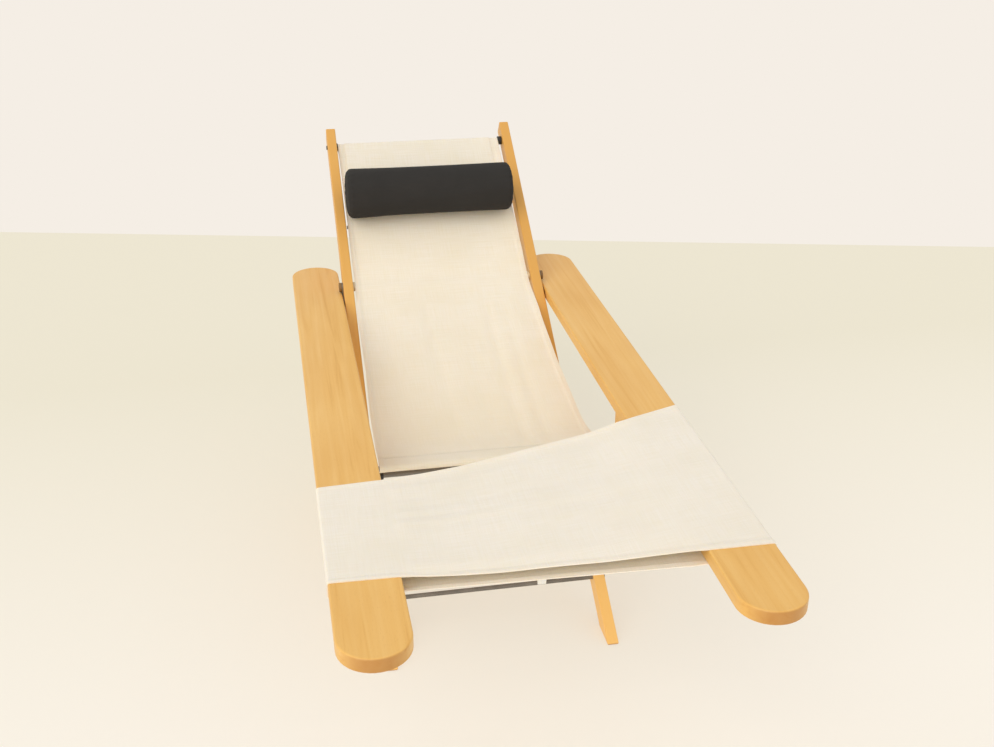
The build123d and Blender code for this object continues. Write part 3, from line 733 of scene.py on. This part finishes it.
def build_band():
    """Canvas leg-rest band looped round both arms, with its folds, hems, stitches and tab."""
    sizes = bpy.context.scene.chaise_sizes
    colours = bpy.context.scene.chaise_colours
    canvas = woven_canvas("cotton_canvas_bleached", tuple(colours.band), linear("#EFE5D1"))
    thread = woven_canvas("bleached_thread", linear("#F6F1E6"), linear("#EDE4D0"))
    usual_width = 0.45
    corner_reach = 18 * MM
    flare_height = 1.2 * MM
    loop = band_loop()
    shares = columns_across(sizes.hem, usual_width, 9 * MM)
    middle_z = (ARM_TOP + ARM_UNDERSIDE) / 2
    folds = random_folds(17, 8, (0.08, 0.9), (0.03, 0.06), (0.5, 1.0))
    grid = []
    for x, z in loop:
        inward = max(0.0, 1 - abs(x) / ARM_INNER)
        front_sag = sizes.band_sag * eased_between(x, BAND_FRONT_DIP, corner_reach)
        rear_sag = sizes.band_sag * eased_between(x, BAND_REAR_DIP, corner_reach)
        upper = z > middle_z
        # The folds are higher toward the left, where the band is gathered.
        gathered = 0.55 + 0.9 * (1 - soft_step(-0.26, 0.30, x))
        row = []
        for share in shares:
            y = TOE_Y + ((1 - share) * between(x, BAND_FRONT) + share * between(x, BAND_REAR)) * MM
            ridge = fold_height(folds, share, x + 0.2)
            if upper:
                span = soft_step(0.0, 0.10, inward)
                lift = sizes.fold * ridge * gathered * span + 0.35 * MM * ridge * (1 - span)
                lift -= (1 - share) * front_sag + share * rear_sag
            else:
                lift = -0.7 * sizes.fold * ridge * soft_step(0.0, 0.15, inward)
            flare = flare_height * (1 - soft_step(0, 0.03, min(share, 1 - share))) * (1 if upper else -1)
            row.append(Vector((x, y, z + lift + flare * soft_step(0, 0.1, inward))))
        grid.append(row)
    thickness = hemmed(shares, usual_width, sizes, sizes.cloth, 1.8)
    band = cloth_shell("legrest_canvas", grid, thickness, canvas, closed=True)

    normals = normals_of(grid, True)
    flip = -1 if normals[0][len(shares) // 2].z > 0 else 1
    bm = bmesh.new()
    for j in hem_columns(shares):
        sew(bm, [row[j] for row in grid], [row[j] * flip for row in normals], sizes.stitch,
            sizes.cloth * 0.8, closed=True)
    stitches = new_stitches("legrest_stitches", bm, thread)
    tab = build_tab()
    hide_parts("legrest_band")
    for piece in (band, stitches, tab):
        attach(piece, "legrest")


def inflate(obj, voxel, pressure, cap):
    """Swells a closed shape like a stuffed cover; no point moves further than cap."""
    remesh = obj.modifiers.new("remesh", "REMESH")
    remesh.mode = "VOXEL"
    remesh.voxel_size = voxel
    bake(obj)
    start = [v.co.copy() for v in obj.data.vertices]
    cloth = obj.modifiers.new("cloth", "CLOTH")
    cloth.settings.use_pressure = True
    cloth.settings.uniform_pressure_force = pressure
    cloth.settings.mass = 0.15
    cloth.settings.tension_stiffness = 25
    cloth.settings.bending_stiffness = 1.5
    cloth.settings.effector_weights.gravity = 0
    last_frame = 20
    cloth.point_cache.frame_start = 1
    cloth.point_cache.frame_end = last_frame
    for number in range(1, last_frame + 1):
        bpy.context.scene.frame_set(number)
    bake(obj)
    bpy.context.scene.frame_set(1)
    for vertex, before in zip(obj.data.vertices, start):
        moved = vertex.co - before
        if moved.length > cap:
            vertex.co = before + moved.normalized() * cap


def bolster_profile(radius, half):
    """Half section of the bolster as (x, distance from its axis), from end to end."""
    rim = BOLSTER_RIM
    profile = [(-half - 3 * MM, 0.0), (-half - 2 * MM, 0.5 * (radius - rim)), (-half, radius - rim)]
    for k in range(1, 7):
        a = math.radians(90 * k / 6)
        profile.append((-half + rim * (1 - math.cos(a)), radius - rim + rim * math.sin(a)))
    for k in range(1, 13):
        profile.append(((-half + rim) * (1 - k / 12), radius))
    return profile + [(-x, r) for x, r in reversed(profile[:-1])]


def turned_mesh(name, profile, around):
    """Mesh of a profile turned round the X axis, closed at both ends."""
    bm = bmesh.new()
    rings = []
    for x, r in profile:
        angles = [2 * math.pi * k / around for k in range(around if r else 1)]
        rings.append([bm.verts.new((x, r * math.cos(a), r * math.sin(a))) for a in angles])
    for a, b in zip(rings, rings[1:]):
        for k in range(around):
            n = (k + 1) % around
            corners = [a[k % len(a)], b[k % len(b)], b[n % len(b)], a[n % len(a)]]
            bm.faces.new(list(dict.fromkeys(corners)))
    return mesh_from(bm, name)


def build_bolster():
    """Stuffed round bolster: swollen cover, seams at both ends, puckers, flat where it lies."""
    sizes = bpy.context.scene.chaise_sizes
    radius, half = sizes.bolster_radius, sizes.bolster_half
    cover = turned_mesh("bolster_cover", bolster_profile(radius, half), around=64)
    bolster = new_object("bolster_cover", cover, charcoal_cloth())
    inflate(bolster, voxel=5 * MM, pressure=4.0, cap=5 * MM)
    make_finer(bolster)
    # Slow ripples: times round the bolster, where they start, and how they wander along it.
    chance = random.Random(5)
    ripples = [(chance.choice((5, 7, 9, 12)), chance.uniform(0, 6.28), chance.uniform(6, 14))
               for _ in range(4)]
    for vertex in bolster.data.vertices:
        x, y, z = vertex.co
        r = math.hypot(y, z)
        angle = math.atan2(z, y)
        to_end = half - abs(x)
        out = Vector((0, y, z)) / r if r > 1e-6 else Vector((0, 0, 0))
        # The stuffing has settled: the middle is slack and the ends stay full.
        swell = -1.2 * MM * math.cos(min(1.0, abs(x) / half) * math.pi / 2)
        swell += 2.6 * MM * bump_at(x, 0.03 - half, 0.05) * (0.6 - 0.4 * math.sin(angle + 0.6))
        # Puckers where the side is gathered into the end seams.
        pucker = 0.7 * MM * bump_at(to_end, 0, 0.022) * math.sin(21 * angle + 2 * math.copysign(1, x))
        seam = -1.3 * MM * bump_at(to_end, 0.005, 0.0028)
        soft = sum(math.sin(n * angle + phase + wave * x) for n, phase, wave in ripples) * 0.28 * MM
        vertex.co += out * soft_step(0.030, 0.060, r) * (swell + pucker + seam + soft)
        # The flat ends are a little wavy.
        if r < radius - BOLSTER_RIM:
            vertex.co.x += math.copysign(0.8 * MM, x) * math.sin(9 * angle + r * 120) * soft_step(0, 0.03, r)
    bolster.data.transform(Matrix.Translation(BOLSTER))
    for vertex in bolster.data.vertices:
        depth = -(vertex.co - BOLSTER).dot(OFF_BACK)
        if depth > BOLSTER_BED:
            vertex.co += OFF_BACK * (depth - BOLSTER_BED)
    bolster.data.polygons.foreach_set("use_smooth", [True] * len(bolster.data.polygons))

    # A row of stitches round each end, broken where the bolster lies on its bed.
    seam_points = 180
    thread = speckled("charcoal_thread", linear("#262523"), linear("#3A3835"), 0.8 * MM, 0.8)
    bm = bmesh.new()
    for end in (-1, 1):
        row = []
        for k in range(seam_points):
            a = 2 * math.pi * k / seam_points
            out = Vector((0, math.cos(a), math.sin(a)))
            spot = BOLSTER + out * (radius - 2.5 * MM) + Vector((end * (half - 7 * MM), 0, 0))
            if -(spot - BOLSTER).dot(OFF_BACK) < BOLSTER_BED - 4 * MM:
                row.append((spot, out))
        first = max(range(len(row)), key=lambda i: (row[i][0] - row[i - 1][0]).length)
        row = row[first:] + row[:first]
        sew(bm, [spot for spot, _ in row], [out for _, out in row], sizes.stitch, 0.0)
    stitches = new_stitches("bolster_stitches", bm, thread)
    for piece in (bolster, stitches):
        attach(piece, "headrest")
    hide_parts("bolster")


def build_flap():
    """Cloth flap that carries the bolster: from under it, over the top rod, down to a weighted hem.
    It is made as two sheets that meet on the rod."""
    sizes = bpy.context.scene.chaise_sizes
    colours = bpy.context.scene.chaise_colours
    canvas = woven_canvas("cotton_canvas_flap", tuple(colours.canvas), linear("#EBDFC6"))
    thread = woven_canvas("flap_thread", linear("#F1E9D8"), linear("#E6DAC0"))
    low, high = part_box("bolster_flap")
    width = high.x - low.x
    middle = (high.x + low.x) / 2
    over = TOP_ROD + OFF_BACK * FLAP_LIFT
    tuck = over - UP_BACK * (BOLSTER_HANG + FLAP_TUCK)
    bar_sleeve = 5.9 * MM
    seam_height = 24 * MM
    seam_hem = 7 * MM
    wrap = turn_round(TOP_ROD, FLAP_LIFT, 90 + math.degrees(SLOPE), 0, 8)
    crest = len(wrap) // 2
    front_line = steps(tuck, over, 8 * MM) + wrap[:crest + 1]
    # The rear sheet hangs to the bar, goes round it and is sewn to itself above it.
    shoulder = HEM_BAR + Vector((0, 0.2 * MM, seam_height))
    around_bar = turn_round(HEM_BAR, bar_sleeve, 20, -200, 12)
    seam = shoulder + Vector((0, -1.3 * MM, 0))
    rear_line = wrap[crest:-1] + steps(wrap[-1], shoulder, 8 * MM) + steps(shoulder, around_bar[0], 4 * MM)
    rear_line += around_bar[:-1] + steps(around_bar[-1], seam, 4 * MM)
    rear_line += [seam, seam + Vector((0, 0, seam_hem))]
    shares = columns_across(sizes.hem, width, 9 * MM)
    for name, line, body, start, end in (
            ("flap_front", front_line, "headrest", over, TOP_ROD - UP_BACK * 190 * MM),
            ("flap_rear", rear_line, "counterweight", TOP_ROD, HEM_BAR + Vector((0, 0, 30 * MM)))):
        rear = name == "flap_rear"
        grid = []
        for point in line:
            hanging = soft_step(0.0, 0.06, TOP_ROD.z - point.z) * soft_step(0, 0.05, point.z - HEM_BAR.z)
            wave = 1.6 * MM * hanging if rear else 0.0
            row = []
            for share in shares:
                ripple = wave * (math.sin(9 * share + 1) + 0.6 * math.sin(21 * share))
                x = middle + (share - 0.5) * width
                row.append(Vector((x, point.y + max(ripple, -0.3 * MM), point.z)))
            grid.append(row)
        flap = cloth_shell(name, grid, hemmed(shares, width, sizes, FLAP_CLOTH, 1.15), canvas)
        normals = normals_of(grid)
        outward = normals[len(wrap)][5].y if rear else normals[2][5].dot(OFF_BACK)
        flip = 1 if outward > 0 else -1
        rows = [([row[j] for row in grid], [row[j] * flip for row in normals]) for j in hem_columns(shares)]
        if rear:
            nearest = min(range(len(line) // 2), key=lambda i: abs(line[i].z - shoulder.z))
            rows.append((grid[nearest], [n * flip for n in normals[nearest]]))
        bm = bmesh.new()
        for points, ways in rows:
            sew(bm, points, ways, sizes.stitch, FLAP_CLOTH * 0.6)
        stitches = new_stitches(name + "_stitches", bm, thread)
        for piece in (flap, stitches):
            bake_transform(piece)
        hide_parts("bolster_flap")


def dress(names, material):
    """Gives CAD nodes a finish."""
    for name in names:
        data = NODES[name].data
        data.materials.clear()
        data.materials.append(material)


def dress_timber():
    """Each board has its own piece of oiled beech, with the grain along it."""
    # Each board is (name, lean, seed, depth); depth is its share of painted shade up the board, most on the
    # posts.
    boards = [
        ("left_arm", 0.0, 1.3, 0.0), ("right_arm", 0.0, 2.9, 0.12), ("left_post", SLOPE, 4.1, 0.75),
        ("right_post", SLOPE, 5.7, 1.0), ("left_leg", -LEG_SLOPE, 6.2, 0.3),
        ("right_leg", -LEG_SLOPE, 7.4, 0.3), ("left_arm_block", 0.0, 8.8, 0.2),
        ("right_arm_block", 0.0, 9.6, 0.2),
    ]
    for name, lean, seed, depth in boards:
        dress([name], oiled_beech("oiled_beech_" + name, lean, seed, depth))


def dress_hardware():
    """Powder-coated rods and plates, moulded nylon and passivated screws."""
    colours = bpy.context.scene.chaise_colours
    # Grey powder coat on drawn bar: a fine orange peel that spreads the highlight along the rod.
    coated = speckled("powder_coated_steel", tuple(colours.steel), linear("#8B857C"), 1.2 * MM, 0.42,
                      Metallic=0.35)
    # Moulded black nylon: dull sheen and a fine spark-eroded texture.
    nylon = speckled("moulded_nylon", tuple(colours.nylon), linear("#2B2A29"), 0.9 * MM, 0.5, IOR=1.53)
    # Natural nylon: waxy, pale and slightly clearer than paint, so the inner rings stay quiet.
    natural = speckled("natural_nylon", linear("#CDB893"), linear("#DCCBAA"), 0.9 * MM, 0.5, IOR=1.53)
    # Brown nylon: the same dull sheen in a tone that sits back between the boards.
    brown = speckled("brown_nylon", linear("#74562B"), linear("#8C6C3E"), 0.9 * MM, 0.5, IOR=1.53)
    # Black-passivated zinc on turned screws: dark, with bright wear from the driver.
    passivated = speckled("passivated_steel", linear("#4A4744"), linear("#75706A"), 0.7 * MM, 0.38,
                          Metallic=1.0)
    dress(["top_rod", "rear_rod", "front_stretcher", "crossbar", "leg_stretcher", "seat_rod", "flap_weight",
           "left_hinge_plate", "right_hinge_plate"], coated)
    dress(["top_rod_spacers", "crossbar_collars", "crossbar_caps"], nylon)
    dress(["rear_rod_spacers"], natural)
    dress(["rear_rod_caps"], brown)
    dress(["top_rod_screws", "stretcher_screws", "pivot_bolts", "pivot_washers", "pivot_nuts",
           "leg_stretcher_screws", "hinge_screws", "block_screws"], passivated)


# Stage


def camera_axes():
    """The camera's right, down and forward directions."""
    level_share, fall = math.cos(CAMERA_PITCH), math.sin(CAMERA_PITCH)
    ahead = Vector((math.sin(CAMERA_YAW) * level_share, math.cos(CAMERA_YAW) * level_share, -fall))
    level = Vector((math.cos(CAMERA_YAW), -math.sin(CAMERA_YAW), 0))
    drop = ahead.cross(level)
    right = math.cos(CAMERA_ROLL) * level + math.sin(CAMERA_ROLL) * drop
    down = -math.sin(CAMERA_ROLL) * level + math.cos(CAMERA_ROLL) * drop
    return right, down, ahead


def floor_point(px, py):
    """Where a pixel of the photograph meets the floor."""
    right, down, ahead = camera_axes()
    focal = CAMERA_LENS / CAMERA_SENSOR * PHOTO_WIDTH
    ray = ahead + right * ((px - PHOTO_WIDTH / 2) / focal) + down * ((py - PHOTO_HEIGHT / 2) / focal)
    return CAMERA_PLACE + ray * (-CAMERA_PLACE.z / ray.z)


def background_rays(tree):
    """1 for rays from the camera, in a reflection or through glass, and 0 for the light's own."""
    path = add(tree, "LightPath")
    seen = path.outputs["Is Camera Ray"]
    for kind in ("Is Glossy Ray", "Is Transmission Ray"):
        seen = add(tree, "Math", {0: seen, 1: path.outputs[kind]}, operation="MAXIMUM")
    return seen


def build_floor():
    """Pale painted floor that ends where the photograph's wall begins: matte, and a little greener and
    darker toward the back, which is painted shade."""
    colours = bpy.context.scene.chaise_colours
    made, tree = new_material("studio_floor_paint")
    place = add(tree, "TexCoord").outputs["Object"]
    back = add(tree, "SeparateXYZ", {"Vector": place}).outputs["Y"]
    # Painted shade: the floor's colour fades to the far tone toward the back.
    colour = tinted(tree, tuple(colours.floor), (back, -0.5, 1.2, 0.0, 1.0, "MIX", tuple(colours.floor_far)))
    paint = add(tree, "BsdfPrincipled", {"Base Color": colour, "Roughness": 0.75, "Specular IOR Level": 0.2})
    # Half of what the camera sees is the plain colour, which keeps the chair's shadow light.
    plain = add(tree, "Emission", {"Color": colour, "Strength": 1.0})
    share = add(tree, "Math", {0: background_rays(tree), 1: 0.5}, operation="MULTIPLY")
    add(tree, "OutputMaterial", {"Surface": add(tree, "MixShader", {0: share, 1: paint, 2: plain})})
    far_left, far_right = floor_point(0, FLOOR_END_LEFT), floor_point(PHOTO_WIDTH, FLOOR_END_RIGHT)
    sideways = (far_right - far_left).normalized() * FLOOR_SIDE_REACH
    nearer = Vector((0, -FLOOR_NEAR_REACH, 0))
    far_left, far_right = far_left - sideways, far_right + sideways
    bm = bmesh.new()
    bm.faces.new([bm.verts.new(p) for p in (far_left, far_right, far_right + nearer, far_left + nearer)])
    new_object("studio_floor", mesh_from(bm, "studio_floor"), made)


def build_background():
    """Pale background, and the even light that comes from all round."""
    world = bpy.data.worlds.new("studio")
    world.use_nodes = True
    tree = world.node_tree
    tree.nodes.clear()
    wall = tuple(bpy.context.scene.chaise_colours.wall)
    light = add(tree, "Background", {"Color": linear("#FFFDFA"), "Strength": 0.80})
    shown = add(tree, "Background", {"Color": wall, "Strength": 1.0})
    mixed = add(tree, "MixShader", {0: background_rays(tree), 1: light, 2: shown})
    add(tree, "OutputWorld", {"Surface": mixed})
    bpy.context.scene.world = world


def build_lamp():
    """Broad soft light from the front left."""
    lamp = bpy.data.lights.new("window_light", "SUN")
    lamp.energy = 1.25
    lamp.angle = math.radians(60)
    lamp.color = linear("#FFFAF2")[:3]
    sun = bpy.data.objects.new("window_light", lamp)
    toward_sun = Vector((-0.60, -0.62, 0.55))
    sun.rotation_euler = toward_sun.to_track_quat("Z", "Y").to_euler()
    bpy.context.scene.collection.objects.link(sun)


def build_camera():
    """The photograph's camera."""
    data = bpy.data.cameras.new("photo_camera")
    data.lens = CAMERA_LENS
    data.sensor_width = CAMERA_SENSOR
    data.sensor_fit = "HORIZONTAL"
    data.clip_end = 60
    camera = bpy.data.objects.new("photo_camera", data)
    right, down, ahead = camera_axes()
    camera.matrix_world = Matrix((
        (right.x, -down.x, -ahead.x, CAMERA_PLACE.x),
        (right.y, -down.y, -ahead.y, CAMERA_PLACE.y),
        (right.z, -down.z, -ahead.z, CAMERA_PLACE.z),
        (0, 0, 0, 1),
    ))
    bpy.context.scene.collection.objects.link(camera)
    bpy.context.scene.camera = camera
    bpy.context.scene.view_settings.view_transform = "Standard"


# Operators


class CHAISE_OT_timber(bpy.types.Operator):
    """Finish the boards in oiled beech"""
    bl_idname = "chaise.timber"
    bl_label = "Timber"

    def execute(self, context):
        dress_timber()
        return {"FINISHED"}


class CHAISE_OT_hardware(bpy.types.Operator):
    """Finish the rods, plates, caps and screws"""
    bl_idname = "chaise.hardware"
    bl_label = "Hardware"

    def execute(self, context):
        dress_hardware()
        return {"FINISHED"}


class CHAISE_OT_sling(bpy.types.Operator):
    """Make the canvas seat"""
    bl_idname = "chaise.sling"
    bl_label = "Canvas seat"

    def execute(self, context):
        build_sling()
        return {"FINISHED"}


class CHAISE_OT_band(bpy.types.Operator):
    """Make the leg-rest band and its tab"""
    bl_idname = "chaise.band"
    bl_label = "Leg-rest band"

    def execute(self, context):
        build_band()
        return {"FINISHED"}


class CHAISE_OT_bolster(bpy.types.Operator):
    """Make the stuffed bolster"""
    bl_idname = "chaise.bolster"
    bl_label = "Bolster"

    def execute(self, context):
        build_bolster()
        return {"FINISHED"}


class CHAISE_OT_flap(bpy.types.Operator):
    """Make the bolster's flap"""
    bl_idname = "chaise.flap"
    bl_label = "Bolster flap"

    def execute(self, context):
        build_flap()
        return {"FINISHED"}


class CHAISE_OT_stage(bpy.types.Operator):
    """Set the floor, the background, the light and the camera"""
    bl_idname = "chaise.stage"
    bl_label = "Stage"

    def execute(self, context):
        build_floor()
        build_background()
        build_lamp()
        build_camera()
        return {"FINISHED"}


OPERATORS = (CHAISE_OT_timber, CHAISE_OT_hardware, CHAISE_OT_sling, CHAISE_OT_band, CHAISE_OT_bolster,
             CHAISE_OT_flap, CHAISE_OT_stage)


class CHAISE_PT_sidebar(bpy.types.Panel):
    """Lists the chaise's sizes, colours and pieces"""
    bl_idname = "CHAISE_PT_sidebar"
    bl_label = "Folding deck chaise"
    bl_space_type = "VIEW_3D"
    bl_region_type = "UI"
    bl_category = "Chaise"

    def draw(self, context):
        for group in (context.scene.chaise_sizes, context.scene.chaise_colours):
            box = self.layout.box()
            for key in type(group).__annotations__:
                box.prop(group, key)
        for operator in OPERATORS:
            self.layout.operator(operator.bl_idname)


CLASSES = (ChaiseSizes, ChaiseColours, *OPERATORS, CHAISE_PT_sidebar)


def register():
    for item in CLASSES:
        bpy.utils.register_class(item)
    bpy.types.Scene.chaise_sizes = PointerProperty(type=ChaiseSizes)
    bpy.types.Scene.chaise_colours = PointerProperty(type=ChaiseColours)


def unregister():
    del bpy.types.Scene.chaise_sizes
    del bpy.types.Scene.chaise_colours
    for item in reversed(CLASSES):
        bpy.utils.unregister_class(item)


def main():
    register()
    bpy.ops.chaise.timber()
    bpy.ops.chaise.hardware()
    bpy.ops.chaise.sling()
    bpy.ops.chaise.band()
    bpy.ops.chaise.bolster()
    bpy.ops.chaise.flap()
    bpy.ops.chaise.stage()


if __name__ == "__main__":
    main()
